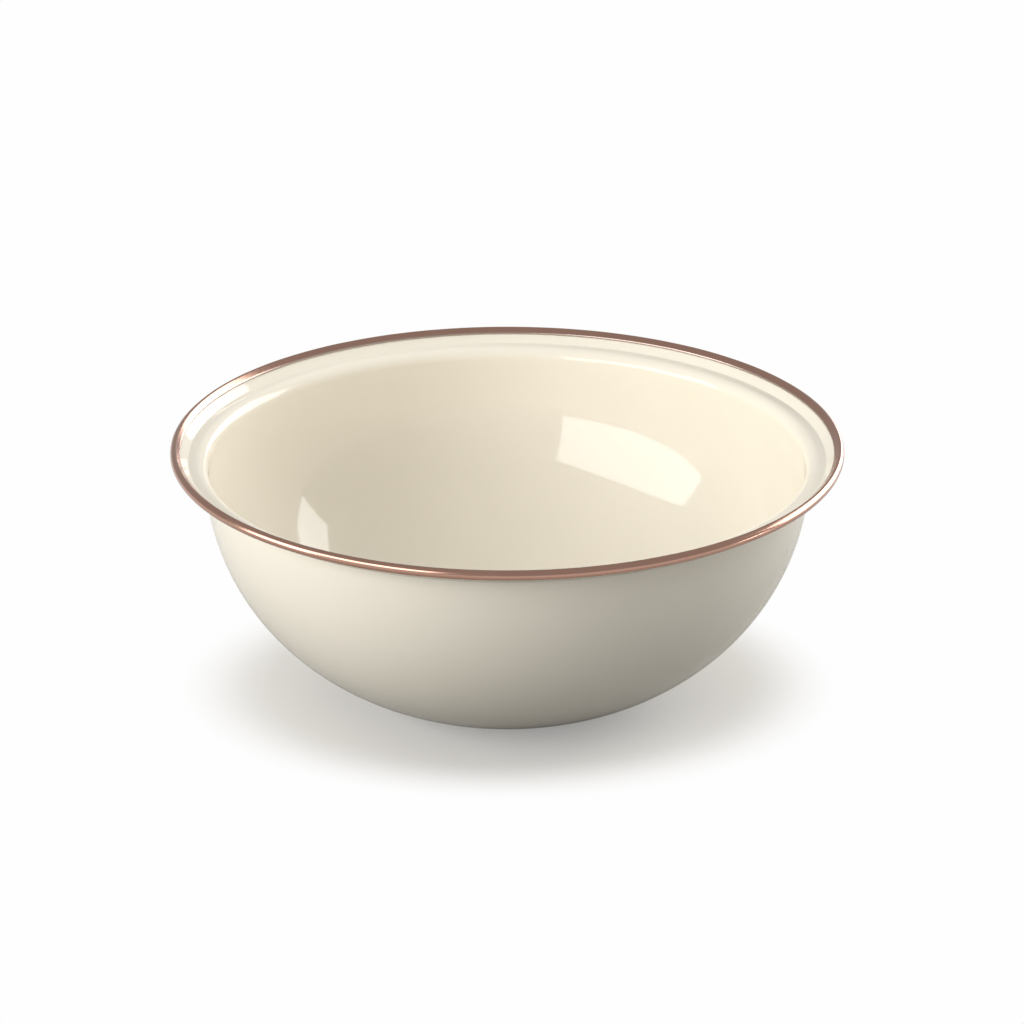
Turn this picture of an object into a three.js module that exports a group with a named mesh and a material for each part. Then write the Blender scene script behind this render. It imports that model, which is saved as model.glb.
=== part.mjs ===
// Enamelled steel bowl with a rolled metal band on its rim.
// Millimetres, +Z up, origin at the middle of the base, on the plane that the bowl stands on.
// The bowl is one pressed sheet. Its middle line, from the centre of the base to the cut edge in the band,
// is drawn once. The steel and its coats of glass are the layers between offsets of that line.
import * as THREE from "three";

// Overall sizes
const rimDiameter = 280; // across the outside of the band
const overallHeight = 111; // from the standing plane to the top of the band

// Sheet and coats
const steelThickness = 0.8;
const groundCoatThickness = 0.12;
const coverCoatThickness = 0.2;
const fusedGap = 0.03; // hairline between two fused layers

// Base: a flat standing ring round a shallow pressed recess
const standDiameter = 76; // where the plane of the base would meet the wall
const standWidth = 6; // flat part of the ring
const heelBlend = 3; // length over which the ring rounds into the wall, on each side
const recessDepth = 0.8;
const recessStep = 4; // width of the sloping step up to the recess

// Wall: an ellipse that stands upright at the shoulder and ends at the base
const wallSweep = THREE.MathUtils.degToRad(79);

// Lip: the shoulder turns out to a level ledge, and the edge flares up from a groove
const shoulderRadius = 3.4; // under the lip
const ledgeWidth = 2.8;
const grooveRadius = 1; // inside, at the foot of the flare
const flareAngle = THREE.MathUtils.degToRad(42);
const flareRise = 4.5; // from the middle of the ledge to the middle of the band

// Band: a strip rolled into a tube round the cut edge, with a slot for the sheet
const bandThickness = 0.5;
const bandHollow = 0.85; // from the enamel's face to the inside of the roll
const crimpGap = 0.1; // between the strip's edges and the enamel
const edgeReach = 0.4; // from the middle of the roll to the cut edge

// Facets
const turnSteps = 40; // round the axis
const heelSteps = 2;
const wallSteps = 7;
const shoulderSteps = 3;
const grooveSteps = 2;
const bandOuterSteps = 10;
const bandInnerSteps = 6;

const finishes = {
  bareSteel: { color: 0x8d8f92, roughness: 0.45, metalness: 1 },
  groundCoat: { color: 0x2b2f3d, roughness: 0.3, metalness: 0 },
  creamEnamel: { color: 0xf1e9d6, roughness: 0.12, metalness: 0 },
  copperBand: { color: 0xb98672, roughness: 0.2, metalness: 1 },
};

// Layers across the sheet, from the outside of the bowl to the inside
const layers = [
  { name: "outer_cover_coat", thickness: coverCoatThickness, finish: finishes.creamEnamel },
  { name: "outer_ground_coat", thickness: groundCoatThickness, finish: finishes.groundCoat },
  { name: "steel_shell", thickness: steelThickness, finish: finishes.bareSteel },
  { name: "inner_ground_coat", thickness: groundCoatThickness, finish: finishes.groundCoat },
  { name: "inner_cover_coat", thickness: coverCoatThickness, finish: finishes.creamEnamel },
];
const solidThickness = layers.reduce((sum, layer) => sum + layer.thickness, 0);
const sheetThickness = solidThickness + (layers.length - 1) * fusedGap;
const halfSheet = sheetThickness / 2;

const bandInnerRadius = halfSheet + bandHollow;
const bandOuterRadius = bandInnerRadius + bandThickness;
const bandCentre = new THREE.Vector2(
  rimDiameter / 2 - bandOuterRadius,
  overallHeight - bandOuterRadius,
);
const flareDirection = new THREE.Vector2(Math.cos(flareAngle), Math.sin(flareAngle));

// Points of an arc of an ellipse, walked from one angle to the other.
function arcPoints(centre, radiusX, radiusY, from, to, steps) {
  const arc = new THREE.EllipseCurve(centre.x, centre.y, radiusX, radiusY, from, to, to < from);
  return arc.getPoints(steps);
}

// Base part of the middle line: the recess, its step and the standing ring, up to where the heel begins.
function basePoints() {
  const ringEnd = standDiameter / 2 - heelBlend;
  const ringStart = ringEnd - standWidth;
  return [
    new THREE.Vector2(0, halfSheet + recessDepth),
    new THREE.Vector2(ringStart - recessStep, halfSheet + recessDepth),
    new THREE.Vector2(ringStart, halfSheet),
    new THREE.Vector2(ringEnd, halfSheet),
  ];
}

// Wall part: the heel, and the ellipse from the heel to the shoulder.
function wallPoints(wallTop, heelStart) {
  const baseEdge = new THREE.Vector2(standDiameter / 2, halfSheet);
  const radiusX = (wallTop.x - baseEdge.x) / (1 - Math.cos(wallSweep));
  const radiusY = (wallTop.y - baseEdge.y) / Math.sin(wallSweep);
  const centre = new THREE.Vector2(wallTop.x - radiusX, wallTop.y);
  const heelEnd = wallSweep - heelBlend / (radiusX * Math.sin(wallSweep));
  const wall = arcPoints(centre, radiusX, radiusY, -heelEnd, 0, wallSteps);
  const heel = new THREE.QuadraticBezierCurve(heelStart, baseEdge, wall[0]).getPoints(heelSteps);
  return [...heel.slice(1), ...wall.slice(1)];
}

// Lip part: the shoulder, the ledge, the groove and the flare, which runs through the middle of the band.
function lipPoints(wallTop, ledgeEnd) {
  const shoulder = shoulderRadius + halfSheet;
  const groove = grooveRadius + halfSheet;
  const shoulderCentre = new THREE.Vector2(wallTop.x + shoulder, wallTop.y);
  const grooveCentre = new THREE.Vector2(ledgeEnd.x, ledgeEnd.y + groove);
  const level = -Math.PI / 2;
  return [
    ...arcPoints(shoulderCentre, shoulder, shoulder, Math.PI, Math.PI / 2, shoulderSteps).slice(1),
    ...arcPoints(grooveCentre, groove, groove, level, level + flareAngle, grooveSteps),
    bandCentre.clone().addScaledVector(flareDirection, edgeReach),
  ];
}

// Middle line of the sheet, from the axis to the cut edge. The lip is worked out inwards from the band.
function middleLine() {
  const grooveTangent = (grooveRadius + halfSheet) * Math.tan(flareAngle / 2);
  const ledgeEnd = new THREE.Vector2(
    bandCentre.x - flareRise / Math.tan(flareAngle) - grooveTangent,
    bandCentre.y - flareRise,
  );
  const shoulder = shoulderRadius + halfSheet;
  const wallTop = new THREE.Vector2(ledgeEnd.x - ledgeWidth - shoulder, ledgeEnd.y - shoulder);
  const base = basePoints();
  return [...base, ...wallPoints(wallTop, base.at(-1)), ...lipPoints(wallTop, ledgeEnd)];
}

// Unit normal of one stretch of a line, on its left as the line is walked.
function leftNormal(from, to) {
  const along = to.clone().sub(from).normalize();
  return new THREE.Vector2(-along.y, along.x);
}

// The line moved to its left by a distance, with mitred corners so that each layer keeps its thickness.
function offsetLine(line, distance) {
  return line.map((point, i) => {
    const next = line[i + 1];
    const previous = line[i - 1];
    const after = next ? leftNormal(point, next) : leftNormal(previous, point);
    const before = previous ? leftNormal(previous, point) : after;
    const mitre = before.clone().add(after).divideScalar(1 + before.dot(after));
    return point.clone().addScaledVector(mitre, distance);
  });
}

// One named piece, turned about +Z from a profile of radius and height.
function turnedPiece(name, profile, finish) {
  const geometry = new THREE.LatheGeometry(profile, turnSteps).rotateX(Math.PI / 2);
  const piece = new THREE.Mesh(geometry, new THREE.MeshStandardMaterial(finish));
  piece.name = name;
  return piece;
}

// Section of the band: the outer arc, then back along the inner arc, with a slot that faces down the flare.
function bandProfile() {
  const slotHalfWidth = halfSheet + crimpGap;
  const slotAngle = flareAngle + Math.PI;
  const arcBetween = (radius, steps) => {
    const half = Math.asin(slotHalfWidth / radius);
    const from = slotAngle + half;
    const to = slotAngle + 2 * Math.PI - half;
    return arcPoints(bandCentre, radius, radius, from, to, steps);
  };
  const outer = arcBetween(bandOuterRadius, bandOuterSteps);
  const inner = arcBetween(bandInnerRadius, bandInnerSteps).reverse();
  return [...outer, ...inner, outer[0].clone()];
}

const bowl = new THREE.Group();
const line = middleLine();
let depth = -halfSheet;
for (const layer of layers) {
  const outside = offsetLine(line, depth);
  const inside = offsetLine(line, depth + layer.thickness).reverse();
  bowl.add(turnedPiece(layer.name, [...outside, ...inside], layer.finish));
  depth += layer.thickness + fusedGap;
}
bowl.add(turnedPiece("rim_band", bandProfile(), finishes.copperBand));

export default bowl;
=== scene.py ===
"""Looks of an enamelled steel bowl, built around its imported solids.

The bowl is one pressed sheet with two coats of glass on each face, and a copper-coloured strip rolled over
its cut edge. Every piece is a section of radius and height turned about +Z, where the solids are. The classes
of the bowl hold their sizes in millimetres, and the meshes are in metres.
"""

import logging
import math
from dataclasses import dataclass, field
from enum import Enum
from typing import Any

import bpy
import numpy as np
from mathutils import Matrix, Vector


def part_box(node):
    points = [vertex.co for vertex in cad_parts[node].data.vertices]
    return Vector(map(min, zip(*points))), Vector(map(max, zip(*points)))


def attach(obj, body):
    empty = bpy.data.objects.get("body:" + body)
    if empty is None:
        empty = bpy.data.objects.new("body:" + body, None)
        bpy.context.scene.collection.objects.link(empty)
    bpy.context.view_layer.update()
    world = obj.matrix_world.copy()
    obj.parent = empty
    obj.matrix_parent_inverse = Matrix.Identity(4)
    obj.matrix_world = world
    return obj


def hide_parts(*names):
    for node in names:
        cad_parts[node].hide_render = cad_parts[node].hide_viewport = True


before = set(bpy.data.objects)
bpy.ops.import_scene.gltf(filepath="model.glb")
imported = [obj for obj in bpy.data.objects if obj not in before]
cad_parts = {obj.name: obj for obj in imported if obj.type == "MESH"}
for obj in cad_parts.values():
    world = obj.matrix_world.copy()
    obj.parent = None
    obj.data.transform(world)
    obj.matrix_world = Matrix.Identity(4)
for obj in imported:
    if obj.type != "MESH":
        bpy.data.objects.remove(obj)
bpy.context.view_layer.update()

MM = 0.001
BODY = "root"
log = logging.getLogger("enamel_bowl")

# The sRGB curve: a straight foot up to the knee, then a power
SRGB_KNEE, SRGB_FOOT, SRGB_LIFT, SRGB_POWER = 0.04045, 12.92, 0.055, 2.4

# Sockets of Blender's Mix node when it mixes colours
MIX_FACTOR, MIX_FIRST, MIX_SECOND, MIX_RESULT = 0, 6, 7, 2


class Closing(Enum):
    """How the ends of a turned section are closed."""

    POLES = "both ends meet the axis"
    RING = "the section is a closed loop"


class Face(Enum):
    """Which face of a coat can be seen."""

    NONE = "buried between other layers"
    INSIDE = "the inside of the bowl"
    OUTSIDE = "the outside of the bowl"


def linear(hex_colour: str) -> tuple[float, float, float, float]:
    """Turns an sRGB colour into Blender's linear one.

    Args:
        hex_colour: six hexadecimal digits, red first.

    Returns:
        Red, green, blue and an alpha of 1.
    """
    parts = np.array([*bytes.fromhex(hex_colour)]) / 255
    foot, curve = parts / SRGB_FOOT, ((parts + SRGB_LIFT) / (1 + SRGB_LIFT)) ** SRGB_POWER
    return (*np.where(parts <= SRGB_KNEE, foot, curve).tolist(), 1.0)


def per_metre(size_mm: float) -> float:
    """Scale of a pattern in metres whose features are size_mm wide."""
    return 1 / (size_mm * MM)


def add_node(tree: bpy.types.NodeTree, kind: str, inputs: dict[str | int, Any] | None = None,
             **settings: Any) -> bpy.types.Node:
    """Adds one node with its settings and links.

    Args:
        tree: the node tree that it goes into.
        kind: Blender's type name of the node.
        inputs: for each input socket, by name or number, a value or the output socket that feeds it.
        settings: the node's own properties.

    Returns:
        The new node.
    """
    node = tree.nodes.new(kind)
    for name, value in settings.items():
        setattr(node, name, value)
    for socket, value in (inputs or {}).items():
        if isinstance(value, bpy.types.NodeSocket):
            tree.links.new(value, node.inputs[socket])
        else:
            node.inputs[socket].default_value = value
    return node


def empty_material(name: str) -> tuple[bpy.types.Material, bpy.types.NodeTree]:
    """Makes a node material with no nodes in it.

    Args:
        name: the name of the material.

    Returns:
        The material and its node tree.
    """
    material = bpy.data.materials.new(name)
    material.use_nodes = True
    material.node_tree.nodes.clear()
    return material, material.node_tree


@dataclass(frozen=True)
class CreamEnamel:
    """Cover coat of opaque cream glass, fired until it flows to a gloss.

    The glass gives a clear mirror over a warm white. It pools a little unevenly, so its colour drifts by a
    few parts in a hundred, and its skin keeps a faint orange peel. The ring that it stands on is dulled by
    shelves, up to a small height.
    """

    name: str = "cream_vitreous_enamel"
    thick: str = "f1eadb"
    thin: str = "ede6d5"
    refraction: float = 1.5
    gloss: tuple[float, float] = (0.04, 0.075)
    drift_mm: float = 55.0
    drift_detail: float = 3.0
    drift_roughness: float = 0.55
    peel_mm: float = 2.4
    peel_detail: float = 1.0
    peel_depth_mm: float = 0.0015
    worn_mm: tuple[float, float] = (0.05, 0.4)
    worn_roughness: float = 0.3

    def material(self) -> bpy.types.Material:
        """Builds the material.

        Returns:
            The material, on Object coordinates.
        """
        material, tree = empty_material(self.name)
        place = add_node(tree, "ShaderNodeTexCoord").outputs["Object"]
        drift = add_node(tree, "ShaderNodeTexNoise", {
            "Vector": place, "Scale": per_metre(self.drift_mm), "Detail": self.drift_detail,
            "Roughness": self.drift_roughness})
        colour = add_node(tree, "ShaderNodeMix", {
            MIX_FACTOR: drift.outputs["Fac"], MIX_FIRST: linear(self.thin),
            MIX_SECOND: linear(self.thick)}, data_type="RGBA")
        gloss = add_node(tree, "ShaderNodeMapRange", {
            "Value": drift.outputs["Fac"], "To Min": self.gloss[1], "To Max": self.gloss[0]})
        height = add_node(tree, "ShaderNodeSeparateXYZ", {"Vector": place}).outputs["Z"]
        worn = add_node(tree, "ShaderNodeMapRange", {
            "Value": height, "From Min": self.worn_mm[0] * MM, "From Max": self.worn_mm[1] * MM,
            "To Min": self.worn_roughness, "To Max": 0.0})
        roughness = add_node(tree, "ShaderNodeMath", {
            0: gloss.outputs["Result"], 1: worn.outputs["Result"]}, operation="MAXIMUM")
        peel = add_node(tree, "ShaderNodeTexNoise", {
            "Vector": place, "Scale": per_metre(self.peel_mm), "Detail": self.peel_detail})
        skin = add_node(tree, "ShaderNodeBump", {
            "Height": peel.outputs["Fac"], "Strength": 1.0, "Distance": self.peel_depth_mm * MM})
        shader = add_node(tree, "ShaderNodeBsdfPrincipled", {
            "Base Color": colour.outputs[MIX_RESULT], "Roughness": roughness.outputs["Value"],
            "IOR": self.refraction, "Normal": skin.outputs["Normal"]})
        add_node(tree, "ShaderNodeOutputMaterial", {"Surface": shader.outputs["BSDF"]})
        return material


@dataclass(frozen=True)
class GroundEnamel:
    """Ground coat of dark cobalt glass, which bonds to the steel.

    It is nearly black with a blue cast, glossy, and speckled by the fine bubbles that the steel gives off.
    """

    name: str = "dark_ground_enamel"
    glass: str = "1f2433"
    bubbles: str = "394056"
    refraction: float = 1.53
    roughness: float = 0.22
    bubble_mm: float = 0.8
    bubble_edge: tuple[float, float] = (0.1, 0.5)

    def material(self) -> bpy.types.Material:
        """Builds the material.

        Returns:
            The material, on Object coordinates.
        """
        material, tree = empty_material(self.name)
        place = add_node(tree, "ShaderNodeTexCoord").outputs["Object"]
        bubbles = add_node(tree, "ShaderNodeTexVoronoi", {
            "Vector": place, "Scale": per_metre(self.bubble_mm)})
        share = add_node(tree, "ShaderNodeMapRange", {
            "Value": bubbles.outputs["Distance"], "From Min": self.bubble_edge[0],
            "From Max": self.bubble_edge[1], "To Min": 1.0, "To Max": 0.0})
        colour = add_node(tree, "ShaderNodeMix", {
            MIX_FACTOR: share.outputs["Result"], MIX_FIRST: linear(self.glass),
            MIX_SECOND: linear(self.bubbles)}, data_type="RGBA")
        shader = add_node(tree, "ShaderNodeBsdfPrincipled", {
            "Base Color": colour.outputs[MIX_RESULT], "Roughness": self.roughness, "IOR": self.refraction})
        add_node(tree, "ShaderNodeOutputMaterial", {"Surface": shader.outputs["BSDF"]})
        return material


@dataclass(frozen=True)
class PressedSteel:
    """Cold-rolled low-carbon steel, pickled before enamelling.

    A dull grey metal with the straight grain of the rolls, which runs along X.
    """

    name: str = "cold_rolled_steel"
    bright: str = "a3a5a8"
    dull: str = "85878b"
    roughness: tuple[float, float] = (0.35, 0.5)
    grain_mm: tuple[float, float] = (12.0, 0.4)

    def material(self) -> bpy.types.Material:
        """Builds the material.

        Returns:
            The material, on Object coordinates.
        """
        material, tree = empty_material(self.name)
        place = add_node(tree, "ShaderNodeTexCoord").outputs["Object"]
        along, across = (per_metre(size) for size in self.grain_mm)
        grain_place = add_node(tree, "ShaderNodeMapping", {
            "Vector": place, "Scale": (along, across, across)})
        grain = add_node(tree, "ShaderNodeTexNoise", {"Vector": grain_place.outputs["Vector"], "Scale": 1.0})
        colour = add_node(tree, "ShaderNodeMix", {
            MIX_FACTOR: grain.outputs["Fac"], MIX_FIRST: linear(self.dull),
            MIX_SECOND: linear(self.bright)}, data_type="RGBA")
        roughness = add_node(tree, "ShaderNodeMapRange", {
            "Value": grain.outputs["Fac"], "To Min": self.roughness[0], "To Max": self.roughness[1]})
        shader = add_node(tree, "ShaderNodeBsdfPrincipled", {
            "Base Color": colour.outputs[MIX_RESULT], "Metallic": 1.0,
            "Roughness": roughness.outputs["Result"]})
        add_node(tree, "ShaderNodeOutputMaterial", {"Surface": shader.outputs["BSDF"]})
        return material


@dataclass(frozen=True)
class CopperPlate:
    """Copper-coloured plating on a steel strip, polished and then rolled over the edge.

    A soft rose metal mirror. The rolls leave fine lines along the strip, which spread its highlights a little
    across it, and handling leaves the colour slightly uneven. Along its cut edges, which grip the enamel, the
    plating is worn thin, and the paler, greyer steel shows through. The wear is placed by how far it is from
    the middle of the strip.
    """

    name: str = "rolled_copper_plate"
    bright: str = "bc9685"
    dull: str = "b18a79"
    roughness: tuple[float, float] = (0.12, 0.24)
    tarnish_mm: float = 14.0
    tarnish_detail: float = 3.0
    worn: str = "b9aca4"
    worn_mm: tuple[float, float] = (4.2, 5.2)
    worn_roughness: float = 0.3
    # Roll lines are about 0.1 mm apart; they are drawn at 0.3 mm so that they show.
    line_mm: float = 0.3
    line_run_mm: float = 40.0
    line_depth_mm: float = 0.002
    across: str = "across"

    def material(self) -> bpy.types.Material:
        """Builds the material.

        Returns:
            The material, on Object coordinates and the strip's own distance across from its middle.
        """
        material, tree = empty_material(self.name)
        place = add_node(tree, "ShaderNodeTexCoord").outputs["Object"]
        tarnish = add_node(tree, "ShaderNodeTexNoise", {
            "Vector": place, "Scale": per_metre(self.tarnish_mm), "Detail": self.tarnish_detail})
        colour = add_node(tree, "ShaderNodeMix", {
            MIX_FACTOR: tarnish.outputs["Fac"], MIX_FIRST: linear(self.dull),
            MIX_SECOND: linear(self.bright)}, data_type="RGBA")
        across = add_node(tree, "ShaderNodeAttribute", attribute_name=self.across).outputs["Fac"]
        from_middle = add_node(tree, "ShaderNodeMath", {0: across}, operation="ABSOLUTE")
        worn = add_node(tree, "ShaderNodeMapRange", {
            "Value": from_middle.outputs["Value"], "From Min": self.worn_mm[0] * MM,
            "From Max": self.worn_mm[1] * MM})
        plated = add_node(tree, "ShaderNodeMix", {
            MIX_FACTOR: worn.outputs["Result"], MIX_FIRST: colour.outputs[MIX_RESULT],
            MIX_SECOND: linear(self.worn)}, data_type="RGBA")
        parts = add_node(tree, "ShaderNodeSeparateXYZ", {"Vector": place})
        run, line = per_metre(self.line_run_mm), per_metre(self.line_mm)
        sizes = add_node(tree, "ShaderNodeCombineXYZ", {
            "X": parts.outputs["X"], "Y": parts.outputs["Y"], "Z": across})
        line_place = add_node(tree, "ShaderNodeMapping", {
            "Vector": sizes.outputs["Vector"], "Scale": (run, run, line)})
        lines = add_node(tree, "ShaderNodeTexNoise", {"Vector": line_place.outputs["Vector"], "Scale": 1.0})
        roughness = add_node(tree, "ShaderNodeMapRange", {
            "Value": lines.outputs["Fac"], "To Min": self.roughness[0], "To Max": self.roughness[1]})
        scuffed = add_node(tree, "ShaderNodeMapRange", {
            "Value": worn.outputs["Result"], "To Min": roughness.outputs["Result"],
            "To Max": self.worn_roughness})
        grooves = add_node(tree, "ShaderNodeBump", {
            "Height": lines.outputs["Fac"], "Strength": 1.0, "Distance": self.line_depth_mm * MM})
        shader = add_node(tree, "ShaderNodeBsdfPrincipled", {
            "Base Color": plated.outputs[MIX_RESULT], "Metallic": 1.0,
            "Roughness": scuffed.outputs["Result"], "Normal": grooves.outputs["Normal"]})
        add_node(tree, "ShaderNodeOutputMaterial", {"Surface": shader.outputs["BSDF"]})
        return material


@dataclass(frozen=True)
class WhitePaper:
    """Matte white studio paper.

    It takes the bowl's soft shadow, which a painted glow keeps pale: to the eye a quarter of the paper is
    white glow under the shadow, rising to plain white beyond an oval of fixed size, which paints the shadow's
    outer edge.
    Farther out it is plain white in mirrors too. It throws little light back up, so that the outside of the
    bowl shades towards its base.
    """

    name: str = "matte_white_paper"
    paper: str = "e8e5df"
    bounce: str = "6c6b69"
    mirrored: str = "cccac5"
    white: str = "fefefe"
    # Painted light: the share of white glow that lifts the bowl's shadow on the paper
    veil: float = 0.25
    shadow_m: tuple[float, float] = (0.098, 0.143)
    shadow_stretch: tuple[float, float, float] = (1.0, 1.25, 1.0)
    mirror_m: tuple[float, float] = (0.16, 0.42)

    def material(self) -> bpy.types.Material:
        """Builds the material.

        Returns:
            The material, on Object coordinates.
        """
        material, tree = empty_material(self.name)
        place = add_node(tree, "ShaderNodeTexCoord").outputs["Object"]
        oval = add_node(tree, "ShaderNodeVectorMath", {
            0: place, 1: self.shadow_stretch}, operation="MULTIPLY")
        near = add_node(tree, "ShaderNodeVectorMath", {0: oval.outputs["Vector"]}, operation="LENGTH")
        far = add_node(tree, "ShaderNodeVectorMath", {0: place}, operation="LENGTH")
        # Painted light for the eye: a share of white glow under the shadow, rising to plain white beyond a
        # fixed oval
        to_eye = add_node(tree, "ShaderNodeMapRange", {
            "Value": near.outputs["Value"], "From Min": self.shadow_m[0], "From Max": self.shadow_m[1],
            "To Min": self.veil}, interpolation_type="SMOOTHSTEP")
        to_mirror = add_node(tree, "ShaderNodeMapRange", {
            "Value": far.outputs["Value"], "From Min": self.mirror_m[0], "From Max": self.mirror_m[1]},
            interpolation_type="SMOOTHSTEP")
        path = add_node(tree, "ShaderNodeLightPath")
        eye = path.outputs["Is Camera Ray"]
        mirror = add_node(tree, "ShaderNodeMath", {
            0: path.outputs["Is Glossy Ray"], 1: path.outputs["Is Transmission Ray"]}, operation="MAXIMUM")
        mirrored = add_node(tree, "ShaderNodeMath", {
            0: mirror.outputs["Value"], 1: to_mirror.outputs["Result"]}, operation="MULTIPLY")
        share = add_node(tree, "ShaderNodeMath", {
            0: eye, 1: to_eye.outputs["Result"], 2: mirrored.outputs["Value"]}, operation="MULTIPLY_ADD")
        unseen = add_node(tree, "ShaderNodeMix", {
            MIX_FACTOR: mirror.outputs["Value"], MIX_FIRST: linear(self.bounce),
            MIX_SECOND: linear(self.mirrored)}, data_type="RGBA")
        tone = add_node(tree, "ShaderNodeMix", {
            MIX_FACTOR: eye, MIX_FIRST: unseen.outputs[MIX_RESULT], MIX_SECOND: linear(self.paper)},
            data_type="RGBA")
        matte = add_node(tree, "ShaderNodeBsdfDiffuse", {"Color": tone.outputs[MIX_RESULT]})
        plain = add_node(tree, "ShaderNodeEmission", {"Color": linear(self.white), "Strength": 1.0})
        shader = add_node(tree, "ShaderNodeMixShader", {
            0: share.outputs["Value"], 1: matte.outputs["BSDF"], 2: plain.outputs["Emission"]})
        add_node(tree, "ShaderNodeOutputMaterial", {"Surface": shader.outputs["Shader"]})
        return material


@dataclass(frozen=True)
class DiffuserCloth:
    """White diffuser cloth of a softbox, lit evenly from behind.

    A radiance of 1 is the white of the picture.
    """

    radiance: float
    name: str = "diffuser_cloth"

    def material(self) -> bpy.types.Material:
        """Builds the material.

        Returns:
            The material, which only glows.
        """
        material, tree = empty_material(self.name)
        glow = add_node(tree, "ShaderNodeEmission", {"Strength": self.radiance})
        add_node(tree, "ShaderNodeOutputMaterial", {"Surface": glow.outputs["Emission"]})
        return material


@dataclass(frozen=True)
class Ripple:
    """Gentle unevenness of a fired or rolled surface.

    Its height at a point is a sum of plane waves with seeded directions, phases and lengths. Every wave has
    the same steepness, so its height is in proportion to its length.
    """

    seed: int
    lengths_mm: tuple[float, float]
    slope: float
    waves: int = 24

    def height(self, points: np.ndarray) -> np.ndarray:
        """Works out the height of the ripple.

        Args:
            points: an array of places in millimetres, with x, y and z along its last axis.

        Returns:
            The height in millimetres at each place.
        """
        rng = np.random.default_rng(self.seed)
        ways = rng.normal(size=(self.waves, 3))
        ways /= np.linalg.norm(ways, axis=1, keepdims=True)
        lengths = np.geomspace(*self.lengths_mm, self.waves)
        phases = rng.uniform(0, 2 * math.pi, self.waves)
        numbers = 2 * math.pi / lengths
        angles = points @ (ways * numbers[:, None]).T + phases
        steepness = self.slope * math.sqrt(2 / self.waves)
        return np.sin(angles) @ (steepness / numbers)


def turned_points(section: np.ndarray, turn_steps: int) -> np.ndarray:
    """Turns a section about +Z: x = r cos t, y = r sin t, z = z, at equal steps of the angle t.

    Args:
        section: radius and height of each row.
        turn_steps: how many places each row has round the axis.

    Returns:
        An array of rows by steps by three coordinates.
    """
    angle = np.linspace(0, 2 * math.pi, turn_steps, endpoint=False)
    radius, height = section[:, 0, None], section[:, 1, None]
    return np.stack(np.broadcast_arrays(radius * np.cos(angle), radius * np.sin(angle), height), axis=-1)


def turned_mesh(name: str, grid: np.ndarray, closing: Closing,
                crease: float = math.radians(35)) -> bpy.types.Mesh:
    """Makes a closed mesh from the rows of a turned section.

    The section is walked anticlockwise, with radius to the right and height up, so the faces point outwards.
    Each row is joined to the next by one four-sided face per step. With POLES, the first and last rows are
    single points on the axis, joined to the next row by a fan of triangles.

    Args:
        name: the name of the mesh.
        grid: rows by steps by three coordinates, in millimetres.
        closing: how the section ends.
        crease: the angle between two faces from which their edge stays sharp.

    Returns:
        The mesh, in metres.
    """
    rows, steps = grid.shape[:2]
    poles = closing is Closing.POLES
    body = grid[1:-1] if poles else grid
    points = body.reshape(-1, 3)
    here = np.arange(len(body) * steps).reshape(len(body), steps)
    after = np.roll(here, -1, axis=1)
    lower, upper = slice(None), np.roll(np.arange(rows), -1)
    if poles:
        lower, upper = slice(None, -1), slice(1, None)
    quads = np.stack([here[lower], after[lower], after[upper], here[upper]], axis=-1).reshape(-1, 4)
    corners, sizes = [quads.ravel()], [np.full(len(quads), 4)]
    if poles:
        first, last = len(points), len(points) + 1
        points = np.concatenate([points, grid[:1, 0], grid[-1:, 0]])
        fans = [np.stack([np.full(steps, first), after[0], here[0]], axis=-1),
                np.stack([here[-1], after[-1], np.full(steps, last)], axis=-1)]
        corners += [fan.ravel() for fan in fans]
        sizes += [np.full(steps, 3)] * 2
    corner, size = np.concatenate(corners), np.concatenate(sizes)
    mesh = bpy.data.meshes.new(name)
    mesh.vertices.add(len(points))
    mesh.vertices.foreach_set("co", (points * MM).astype(np.float32).ravel())
    mesh.loops.add(len(corner))
    mesh.loops.foreach_set("vertex_index", corner.astype(np.int32))
    mesh.polygons.add(len(size))
    mesh.polygons.foreach_set("loop_start", (np.cumsum(size) - size).astype(np.int32))
    mesh.update(calc_edges=True)
    mesh.validate()
    mesh.shade_smooth()
    mesh.set_sharp_from_angle(angle=crease)
    return mesh


def add_piece(mesh: bpy.types.Mesh, node: str, material: bpy.types.Material) -> bpy.types.Object:
    """Puts a mesh into the scene as the piece that stands for a CAD node.

    Args:
        mesh: the finished mesh.
        node: the CAD node that it stands for.
        material: the finish.

    Returns:
        The new object, named after the mesh.
    """
    mesh.materials.append(material)
    piece = bpy.data.objects.new(mesh.name, mesh)
    bpy.context.scene.collection.objects.link(piece)
    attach(piece, BODY)
    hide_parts(node)
    return piece


def add_stage(name: str, corners: np.ndarray, material: bpy.types.Material) -> bpy.types.Object:
    """Puts one flat face of the studio into the scene, which isn't part of the bowl.

    Args:
        name: the name of the object.
        corners: its corners in order, in metres.
        material: the finish.

    Returns:
        The new object, marked as stage.
    """
    mesh = bpy.data.meshes.new(name)
    mesh.from_pydata(corners.tolist(), [], [list(range(len(corners)))])
    mesh.materials.append(material)
    sheet = bpy.data.objects.new(name, mesh)
    bpy.context.scene.collection.objects.link(sheet)
    return sheet


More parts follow.
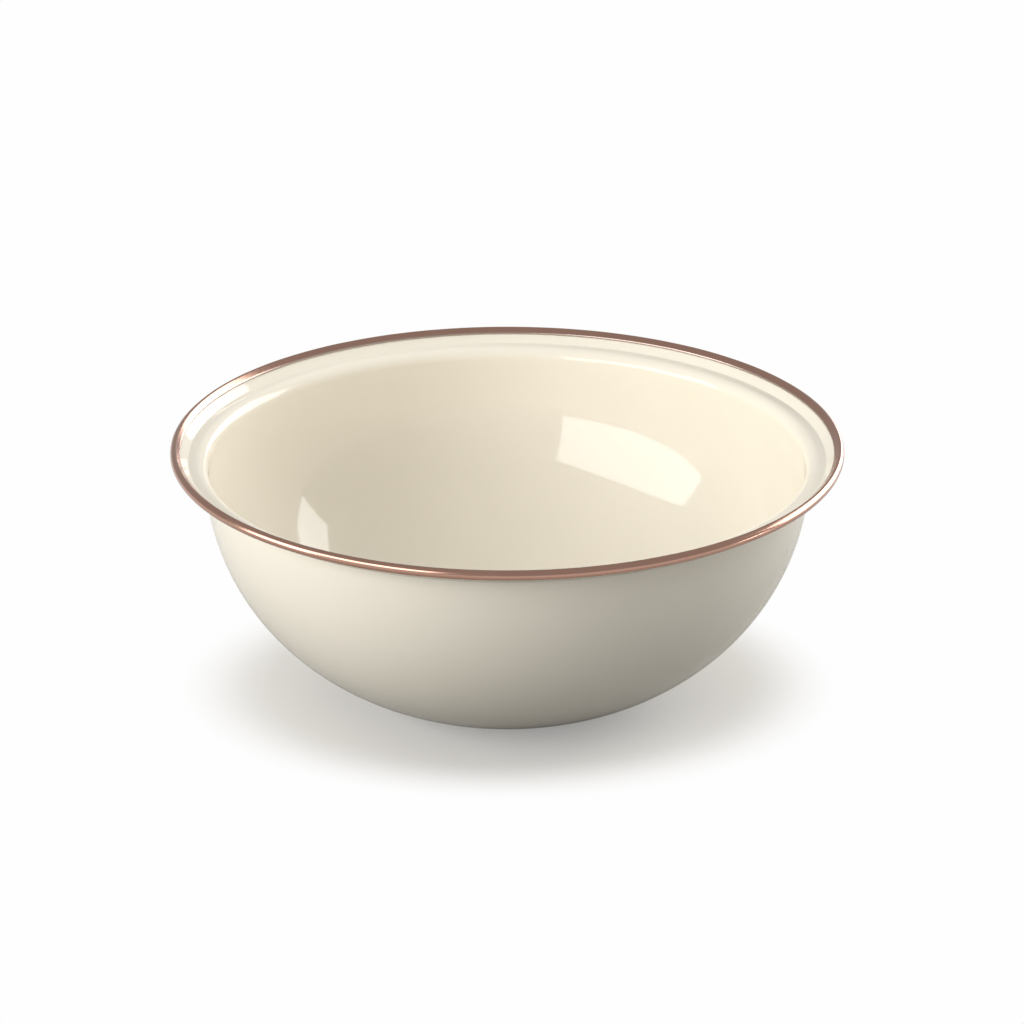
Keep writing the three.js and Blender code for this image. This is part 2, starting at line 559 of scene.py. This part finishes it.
@dataclass(frozen=True)
class SheetLine:
    """Middle line of the pressed sheet, from the centre of the base to the cut edge inside the band.

    It is the recess, a rounded step down to the standing ring, the ring, the heel, the wall, the shoulder,
    the ledge, the groove and the flare. The lip is worked out inwards from the middle of the band. The rows
    are how many points each stretch has.
    """

    band_centre: np.ndarray
    half_sheet: float
    stand_radius: float = 38.0
    ring_width: float = 6.0
    heel_blend: float = 3.0
    recess_depth: float = 0.8
    recess_step: float = 4.0
    wall_sweep: float = math.radians(79)
    shoulder_radius: float = 3.4
    ledge_width: float = 2.8
    groove_radius: float = 1.0
    flare_angle: float = math.radians(42)
    flare_rise: float = 4.5
    edge_reach: float = 0.4
    recess_rows: int = 10
    step_rows: int = 12
    ring_rows: int = 4
    heel_rows: int = 6
    wall_rows: int = 64
    shoulder_rows: int = 14
    ledge_rows: int = 4
    groove_rows: int = 8
    flare_rows: int = 10

    @staticmethod
    def straight(start: np.ndarray, end: np.ndarray, steps: int) -> tuple[np.ndarray, np.ndarray]:
        """Equal steps from start towards end, without end: the points and their directions."""
        share = np.linspace(0, 1, steps, endpoint=False)[:, None]
        return start + (end - start) * share, np.broadcast_to(end - start, (steps, 2))

    @staticmethod
    def arc(centre: np.ndarray, radii: tuple[float, float], start: float, end: float,
            steps: int) -> tuple[np.ndarray, np.ndarray]:
        """An arc of an ellipse: centre + (a cos t, b sin t) for t from start towards end.

        Args:
            centre: the middle of the ellipse.
            radii: its half-widths a and b.
            start: the first angle.
            end: the last angle, which isn't included.
            steps: how many points there are.

        Returns:
            The points and their directions.
        """
        angle = np.linspace(start, end, steps, endpoint=False)[:, None]
        way = np.concatenate([-np.sin(angle), np.cos(angle)], axis=1) * radii * np.sign(end - start)
        return centre + np.concatenate([np.cos(angle), np.sin(angle)], axis=1) * radii, way

    @staticmethod
    def bend(start: np.ndarray, corner: np.ndarray, end: np.ndarray,
             steps: int) -> tuple[np.ndarray, np.ndarray]:
        """A quadratic curve: (1 - s)^2 start + 2 s (1 - s) corner + s^2 end for s from 0 towards 1.

        Args:
            start: the first point.
            corner: the point that the curve leaves start towards, and reaches end from.
            end: the last point, which isn't included.
            steps: how many points there are.

        Returns:
            The points and their directions.
        """
        share = np.linspace(0, 1, steps, endpoint=False)[:, None]
        points = (1 - share) ** 2 * start + 2 * share * (1 - share) * corner + share ** 2 * end
        return points, (1 - share) * (corner - start) + share * (end - corner)

    def base(self) -> list[tuple[np.ndarray, np.ndarray]]:
        """The recess, its step and the standing ring.

        The step falls by half a cosine wave: z = depth (1 + cos(pi t)) / 2.

        Returns:
            Points and directions of each stretch.
        """
        ring_end = np.array([self.stand_radius - self.heel_blend, self.half_sheet])
        ring_start = ring_end - [self.ring_width, 0]
        recess_end = ring_start + [-self.recess_step, self.recess_depth]
        middle = np.array([0, recess_end[1]])
        share = np.linspace(0, 1, self.step_rows, endpoint=False)
        fall = self.half_sheet + self.recess_depth * (1 + np.cos(math.pi * share)) / 2
        slope = -self.recess_depth * math.pi * np.sin(math.pi * share) / 2
        step = np.stack([recess_end[0] + self.recess_step * share, fall], axis=1)
        step_way = np.stack([np.full_like(share, self.recess_step), slope], axis=1)
        return [self.straight(middle, recess_end, self.recess_rows), (step, step_way),
                self.straight(ring_start, ring_end, self.ring_rows)]

    def points(self) -> tuple[np.ndarray, np.ndarray]:
        """Walks the whole line.

        The wall is an arc of an ellipse that is upright at its top and comes down to the heel after its
        sweep. The shoulder and the groove are arcs of circles that run into the ledge, and the flare is
        straight.

        Returns:
            Radius and height of each point, and the unit normal there, towards the inside of the bowl.
        """
        shoulder, groove = self.shoulder_radius + self.half_sheet, self.groove_radius + self.half_sheet
        flare = np.array([math.cos(self.flare_angle), math.sin(self.flare_angle)])
        back = self.flare_rise / math.tan(self.flare_angle) + groove * math.tan(self.flare_angle / 2)
        ledge_end = self.band_centre - [back, self.flare_rise]
        ledge_start = ledge_end - [self.ledge_width, 0]
        wall_top = ledge_start - shoulder
        heel = np.array([self.stand_radius, self.half_sheet])
        radii = ((wall_top[0] - heel[0]) / (1 - math.cos(self.wall_sweep)),
                 (wall_top[1] - heel[1]) / math.sin(self.wall_sweep))
        heel_end = self.wall_sweep - self.heel_blend / (radii[0] * math.sin(self.wall_sweep))
        wall = self.arc(wall_top - [radii[0], 0], radii, -heel_end, 0, self.wall_rows)
        lip = self.arc(wall_top + [shoulder, 0], (shoulder, shoulder), math.pi, math.pi / 2,
                       self.shoulder_rows)
        hollow = self.arc(ledge_end + [0, groove], (groove, groove), -math.pi / 2,
                          self.flare_angle - math.pi / 2, self.groove_rows)
        flare_start = ledge_end + [0, groove] + groove * np.array([flare[1], -flare[0]])
        edge = self.band_centre + self.edge_reach * flare
        stretches = [*self.base(),
                     self.bend(heel - [self.heel_blend, 0], heel, wall[0][0], self.heel_rows),
                     wall,
                     lip,
                     self.straight(ledge_start, ledge_end, self.ledge_rows),
                     hollow,
                     self.straight(flare_start, edge, self.flare_rows),
                     (edge[None], flare[None])]
        line = np.concatenate([points for points, _ in stretches])
        way = np.concatenate([ways for _, ways in stretches])
        normal = np.stack([-way[:, 1], way[:, 0]], axis=1)
        return line, normal / np.linalg.norm(normal, axis=1, keepdims=True)


@dataclass(frozen=True)
class Layer:
    """One layer of the sheet: its piece, its thickness, the face of it that shows, and its finish."""

    node: str
    slot: str
    thickness: float
    shows: Face
    finish: CreamEnamel | GroundEnamel | PressedSteel


@dataclass
class PressedSheet:
    """The bowl's body: a pressed steel sheet between its coats of glass, from the outside to the inside.

    The ripple of the coats fades in over a length from the heel, and out between two distances from the cut
    edge of the sheet.
    """

    steel: float = 0.8
    ground: float = 0.12
    cover: float = 0.2
    fused_gap: float = 0.03
    turn_steps: int = 240
    fade_in: float = 20.0
    fade_out: tuple[float, float] = (24.0, 8.0)
    ripple_inside: Ripple = Ripple(seed=11, lengths_mm=(15, 60), slope=0.0025)
    ripple_outside: Ripple = Ripple(seed=23, lengths_mm=(15, 60), slope=0.0025)
    layers: list[Layer] = field(init=False)

    def __post_init__(self) -> None:
        """Lists the layers, with one finish for each kind of glass."""
        cream, dark = CreamEnamel(), GroundEnamel()
        self.layers = [
            Layer("outer_cover_coat", "cream_enamel", self.cover, Face.OUTSIDE, cream),
            Layer("outer_ground_coat", "ground_enamel", self.ground, Face.NONE, dark),
            Layer("steel_shell", "pressed_steel", self.steel, Face.NONE, PressedSteel()),
            Layer("inner_ground_coat", "ground_enamel", self.ground, Face.NONE, dark),
            Layer("inner_cover_coat", "cream_enamel", self.cover, Face.INSIDE, cream),
        ]

    @property
    def half_sheet(self) -> float:
        """Half of the thickness of the whole sheet, with the hairlines between its layers."""
        gaps = (len(self.layers) - 1) * self.fused_gap
        return (sum(layer.thickness for layer in self.layers) + gaps) / 2

    def face(self, line: SheetLine, offset: float, ripple: Ripple | None) -> np.ndarray:
        """One face of a layer: the middle line moved along its normal and turned, with its ripple added.

        The ripple fades out on the base and under the band, so that both fit as drawn.

        Args:
            line: the middle line of the sheet.
            offset: how far the face is from the middle line, towards the inside of the bowl.
            ripple: the unevenness of the face, if it shows.

        Returns:
            Rows by steps by three coordinates.
        """
        points, normal = line.points()
        grid = turned_points(points + normal * offset, self.turn_steps)
        if ripple is None:
            return grid
        steps = np.linalg.norm(np.diff(points, axis=0), axis=1)
        walked = np.concatenate([[0], np.cumsum(steps)])
        heel = walked[np.searchsorted(points[:, 0], line.stand_radius)]
        stops = [heel, heel + self.fade_in, *(walked[-1] - np.array(self.fade_out))]
        amount = np.interp(walked, stops, [0, 1, 1, 0])[:, None]
        out = turned_points(normal, self.turn_steps)
        return grid + out * (amount * ripple.height(grid))[..., None]

    def build(self, band_centre: np.ndarray) -> list[bpy.types.Object]:
        """Builds and dresses the five layers.

        Args:
            band_centre: radius and height of the middle of the band, which the sheet runs through.

        Returns:
            The pieces, from the outside of the bowl to the inside.
        """
        line = SheetLine(band_centre, self.half_sheet)
        pieces, finishes = [], {}
        depth = -self.half_sheet
        for layer in self.layers:
            outer_ripple = self.ripple_outside if layer.shows is Face.OUTSIDE else None
            inner_ripple = self.ripple_inside if layer.shows is Face.INSIDE else None
            outer = self.face(line, depth, outer_ripple)
            inner = self.face(line, depth + layer.thickness, inner_ripple)[::-1]
            mesh = turned_mesh(f"{layer.node}_turned", np.concatenate([outer, inner]), Closing.POLES)
            if layer.finish.name not in finishes:
                finishes[layer.finish.name] = layer.finish.material()
            pieces.append(add_piece(mesh, layer.node, finishes[layer.finish.name]))
            depth += layer.thickness + self.fused_gap
        return pieces


@dataclass
class RimBand:
    """The copper-coloured strip, rolled into a tube round the cut edge, with a slot that takes the sheet.

    The rows are how many points go round each corner of the strip, along its outside and along its inside.
    """

    rim_radius: float
    height: float
    half_sheet: float
    thickness: float = 0.5
    hollow: float = 0.85
    crimp_gap: float = 0.1
    edge_round: float = 0.17
    pressed: float = 1.62
    pressed_turn: float = SheetLine.flare_angle + math.pi / 2
    pressed_blend: float = 0.1
    flare_angle: float = SheetLine.flare_angle
    corner_rows: int = 6
    outside_rows: int = 42
    inside_rows: int = 22
    turn_steps: int = 480
    ripple: Ripple = Ripple(seed=5, lengths_mm=(9, 60), slope=0.004)
    finish: CopperPlate = CopperPlate()

    @property
    def outer_radius(self) -> float:
        """Radius of the outside of the roll."""
        return self.half_sheet + self.hollow + self.thickness

    @property
    def slot_half(self) -> float:
        """Half of the width of the slot that takes the sheet."""
        return self.half_sheet + self.crimp_gap

    @property
    def centre(self) -> np.ndarray:
        """Radius and height of the middle of the roll."""
        return np.array([self.rim_radius, self.height]) - self.outer_radius

    def strip_outline(self) -> np.ndarray:
        """Outline of the strip's cross-section while it is flat: a long rectangle with rounded corners.

        Returns:
            The share of the strip's width, from -1 to 1 between its edges, and the place across its
            thickness in millimetres, walked along the outside and back along the inside.
        """
        half = self.thickness / 2
        middle = self.outer_radius - half
        length = middle * (math.pi - math.asin(self.slot_half / middle))
        share = self.edge_round / length
        turn = np.linspace(math.pi / 2, 0, self.corner_rows)
        corner = np.stack([1 - share + share * np.cos(turn),
                           half - self.edge_round + self.edge_round * np.sin(turn)], axis=1)
        edge = np.concatenate([corner, corner[::-1] * [1, -1]])
        outside = np.linspace(share - 1, 1 - share, self.outside_rows)[1:-1]
        inside = np.linspace(1 - share, share - 1, self.inside_rows)[1:-1]
        return np.concatenate([np.stack([outside, np.full_like(outside, half)], axis=1), edge,
                               np.stack([inside, np.full_like(inside, -half)], axis=1), -edge])

    def build(self) -> bpy.types.Object:
        """Builds and dresses the band.

        The strip is rolled about the band's centre: a point at share s of the width and q across the
        thickness goes to radius r = middle radius + q and angle = opposite the slot + s (pi - asin(w / r)),
        where w is half of the slot, so that both edges of the strip lie along the enamel. The crimping tool
        then presses its inner side flat: where a point stands higher than a plane above the enamel, it goes
        down to it, with a smooth maximum, b log(1 + exp(e / b)), of the excess e and nothing.

        Returns:
            The piece.
        """
        flat = self.strip_outline()
        radius = self.outer_radius - self.thickness / 2 + flat[:, 1]
        slot = np.arcsin(self.slot_half / radius)
        turn = flat[:, 0] * (math.pi - slot)
        angle = self.flare_angle + turn
        way = np.stack([np.cos(angle), np.sin(angle)], axis=1)
        rolled = way * radius[:, None]
        press = np.array([math.cos(self.pressed_turn), math.sin(self.pressed_turn)])
        excess = rolled @ press - (self.pressed - self.thickness / 2 + flat[:, 1])
        drop = self.pressed_blend * np.logaddexp(0, excess / self.pressed_blend)
        section = self.centre + rolled - press * drop[:, None]
        grid = turned_points(section, self.turn_steps)
        middle = turned_points(np.broadcast_to(self.centre, section.shape), self.turn_steps)
        grid = grid + turned_points(way, self.turn_steps) * self.ripple.height(middle)[..., None]
        mesh = turned_mesh("rim_band_rolled", grid, Closing.RING)
        across = np.repeat(turn * self.outer_radius * MM, self.turn_steps)
        mesh.attributes.new(self.finish.across, "FLOAT", "POINT").data.foreach_set("value", across)
        return add_piece(mesh, "rim_band", self.finish.material())


@dataclass(frozen=True)
class Softbox:
    """An upright panel of lit cloth that faces the bowl.

    Azimuth is in degrees from +Y towards +X, and the other sizes are in metres. Left and right are places
    along the panel, and the lean is how far its left edge has moved to the right at the top.
    """

    name: str
    azimuth: float
    distance: float
    left: float
    right: float
    bottom: float
    top: float
    cloth: DiffuserCloth
    lean: float = 0.0

    def build(self) -> bpy.types.Object:
        """Builds the panel. Each corner is its distance outwards, its place along and its height, added up.

        Returns:
            The panel, which the camera doesn't see.
        """
        turn = math.radians(self.azimuth)
        out = np.array([math.sin(turn), math.cos(turn), 0])
        side = np.array([math.cos(turn), -math.sin(turn), 0])
        along = np.array([self.left, self.right, self.right, self.left + self.lean])
        heights = np.array([self.bottom, self.bottom, self.top, self.top])
        corners = out * self.distance + np.outer(along, side) + np.outer(heights, [0, 0, 1])
        panel = add_stage(self.name, corners, self.cloth.material())
        panel.visible_camera = False
        return panel


@dataclass
class Studio:
    """White paper, the softboxes, the room and the camera.

    The key stands at the front left and reaches lower at its left end, the back softbox has a leaning edge,
    and a low strip stands at the right. The room is dim, and paler near the horizon and overhead. Where it
    fades is given as the height of a direction, from 0 at the horizon to 1 straight up.
    """

    target_mm: tuple[float, float, float] = (2.0, 0.0, 78.2)
    elevation: float = 22.442
    distance_mm: float = 1680.0
    lens: float = 140.9
    sensor: float = 36.0
    clip: tuple[float, float] = (0.01, 50.0)
    floor_radius: float = 12.0
    floor_corners: int = 96
    floor_drop_mm: float = 0.05
    room: float = 0.35
    mirrored_room: float = 0.64
    horizon: float = 1.45
    horizon_fall: tuple[float, float] = (0.17, 0.25)
    overhead: float = 1.3
    overhead_rise: tuple[float, float] = (0.68, 0.82)
    finish: WhitePaper = WhitePaper()
    softboxes: tuple[Softbox, ...] = (
        Softbox("key_softbox", -132.0, 1.3, -0.605, 1.225, 0.3, 1.0, DiffuserCloth(4.75)),
        Softbox("low_key_softbox", -132.0, 1.3, 0.31, 1.225, 0.02, 0.3, DiffuserCloth(6.0)),
        Softbox("back_softbox", 38.0, 2.6, -0.97, 2.4, 0.02, 2.13, DiffuserCloth(5.0), lean=0.95),
        Softbox("side_strip", 97.0, 1.3, -0.12, 0.12, 0.0, 0.1, DiffuserCloth(9.0)),
    )

    def camera(self) -> bpy.types.Object:
        """Builds the camera, which looks along +Y and down at the bowl.

        Returns:
            The camera, set as the scene's own.
        """
        lean = math.radians(self.elevation)
        back = Vector((0, -math.cos(lean), math.sin(lean)))
        data = bpy.data.cameras.new("photo_camera")
        data.lens, data.sensor_width, data.sensor_fit = self.lens, self.sensor, "HORIZONTAL"
        data.clip_start, data.clip_end = self.clip
        camera = bpy.data.objects.new("photo_camera", data)
        camera.location = (Vector(self.target_mm) + back * self.distance_mm) * MM
        camera.rotation_mode = "QUATERNION"
        camera.rotation_quaternion = (-back).to_track_quat("-Z", "Y")
        bpy.context.scene.collection.objects.link(camera)
        bpy.context.scene.camera = camera
        return camera

    def floor(self) -> bpy.types.Object:
        """Builds the paper: a disc under the bowl, with corners at equal angles.

        Returns:
            The floor.
        """
        angle = np.linspace(0, 2 * math.pi, self.floor_corners, endpoint=False)
        rim = np.stack([np.cos(angle), np.sin(angle)], axis=1) * self.floor_radius
        corners = np.column_stack([rim, np.full(len(rim), -self.floor_drop_mm * MM)])
        return add_stage("studio_paper", corners, self.finish.material())

    def world(self) -> bpy.types.World:
        """Builds the light of the room: dim, paler near the horizon and overhead, and even in mirrors.

        Returns:
            The world, set as the scene's own.
        """
        world = bpy.data.worlds.new("studio_room")
        world.use_nodes = True
        tree = world.node_tree
        tree.nodes.clear()
        way = add_node(tree, "ShaderNodeTexCoord").outputs["Generated"]
        height = add_node(tree, "ShaderNodeSeparateXYZ", {"Vector": way}).outputs["Z"]
        low = add_node(tree, "ShaderNodeMapRange", {
            "Value": height, "From Min": self.horizon_fall[0], "From Max": self.horizon_fall[1],
            "To Min": self.horizon, "To Max": self.room}, interpolation_type="SMOOTHSTEP")
        lit = add_node(tree, "ShaderNodeMapRange", {
            "Value": height, "From Min": self.overhead_rise[0], "From Max": self.overhead_rise[1],
            "To Min": low.outputs["Result"], "To Max": self.overhead}, interpolation_type="SMOOTHSTEP")
        mirror = add_node(tree, "ShaderNodeLightPath").outputs["Is Glossy Ray"]
        strength = add_node(tree, "ShaderNodeMapRange", {
            "Value": mirror, "To Min": lit.outputs["Result"], "To Max": self.mirrored_room})
        light = add_node(tree, "ShaderNodeBackground", {"Strength": strength.outputs["Result"]})
        add_node(tree, "ShaderNodeOutputWorld", {"Surface": light.outputs["Background"]})
        bpy.context.scene.world = world
        return world

    def build(self) -> None:
        """Builds the camera, the paper, the room and the softboxes."""
        bpy.context.scene.view_settings.view_transform = "Standard"
        self.camera()
        self.floor()
        self.world()
        for softbox in self.softboxes:
            softbox.build()


def main() -> None:
    """Builds the bowl and the studio, and reports each piece."""
    logging.basicConfig(level=logging.INFO, format="%(name)s: %(message)s")
    _, rim_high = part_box("rim_band")
    sheet = PressedSheet()
    band = RimBand(rim_high.x / MM, rim_high.z / MM, sheet.half_sheet)
    for piece in [*sheet.build(band.centre), band.build()]:
        piece.data.calc_loop_triangles()
        log.info("%s: %d triangles", piece.name, len(piece.data.loop_triangles))
    Studio().build()


if __name__ == "__main__":
    main()
